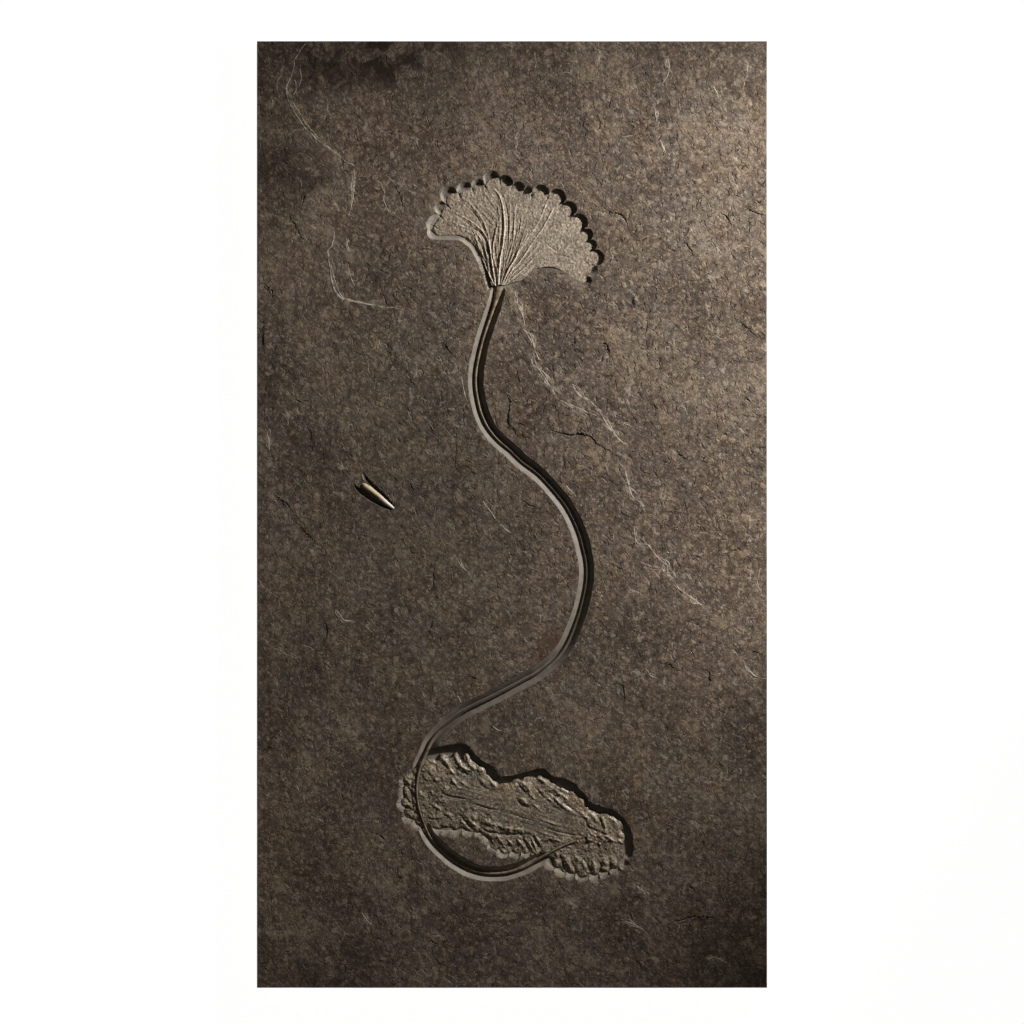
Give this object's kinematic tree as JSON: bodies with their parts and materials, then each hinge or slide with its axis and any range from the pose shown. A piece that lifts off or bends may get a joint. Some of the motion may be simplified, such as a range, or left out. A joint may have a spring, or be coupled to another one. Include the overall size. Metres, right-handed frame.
{
  "type": "fossil crinoid plate",
  "caption": "Dark shale slab lying on its back, with a fan-shaped crinoid crown, a long winding stem that loops to a second, crushed crown, and a small belemnite beside them",
  "frame": {"origin": "middle of the slab's back, which is the bottom of the bounding box", "axes": "+Z out of the fossil face, +Y toward the end with the fan-shaped crown, +X to the right of a viewer who looks at the fossil face with +Y up"},
  "size_m": [0.9, 1.67, 0.0329],
  "materials": {
    "shale": "matte grey-brown split shale with paler flecks, brown stains and smooth ground walls round the fossils",
    "crown_calcite": "matte tan calcite, granular, in fine ridged arms",
    "stem_calcite": "low-sheen tan-brown calcite",
    "pyritised_calcite": "rough olive-brown calcite with bluish grey and rusty patches and a faint pyrite glint",
    "belemnite_calcite": "smooth amber-brown calcite with a pale glossy tip"
  },
  "bodies": {
    "root": {"shale_slab": "shale", "upper_crown": "crown_calcite", "stem": "stem_calcite", "lower_crown": "pyritised_calcite", "belemnite": "belemnite_calcite"}
  },
  "joints": []
}
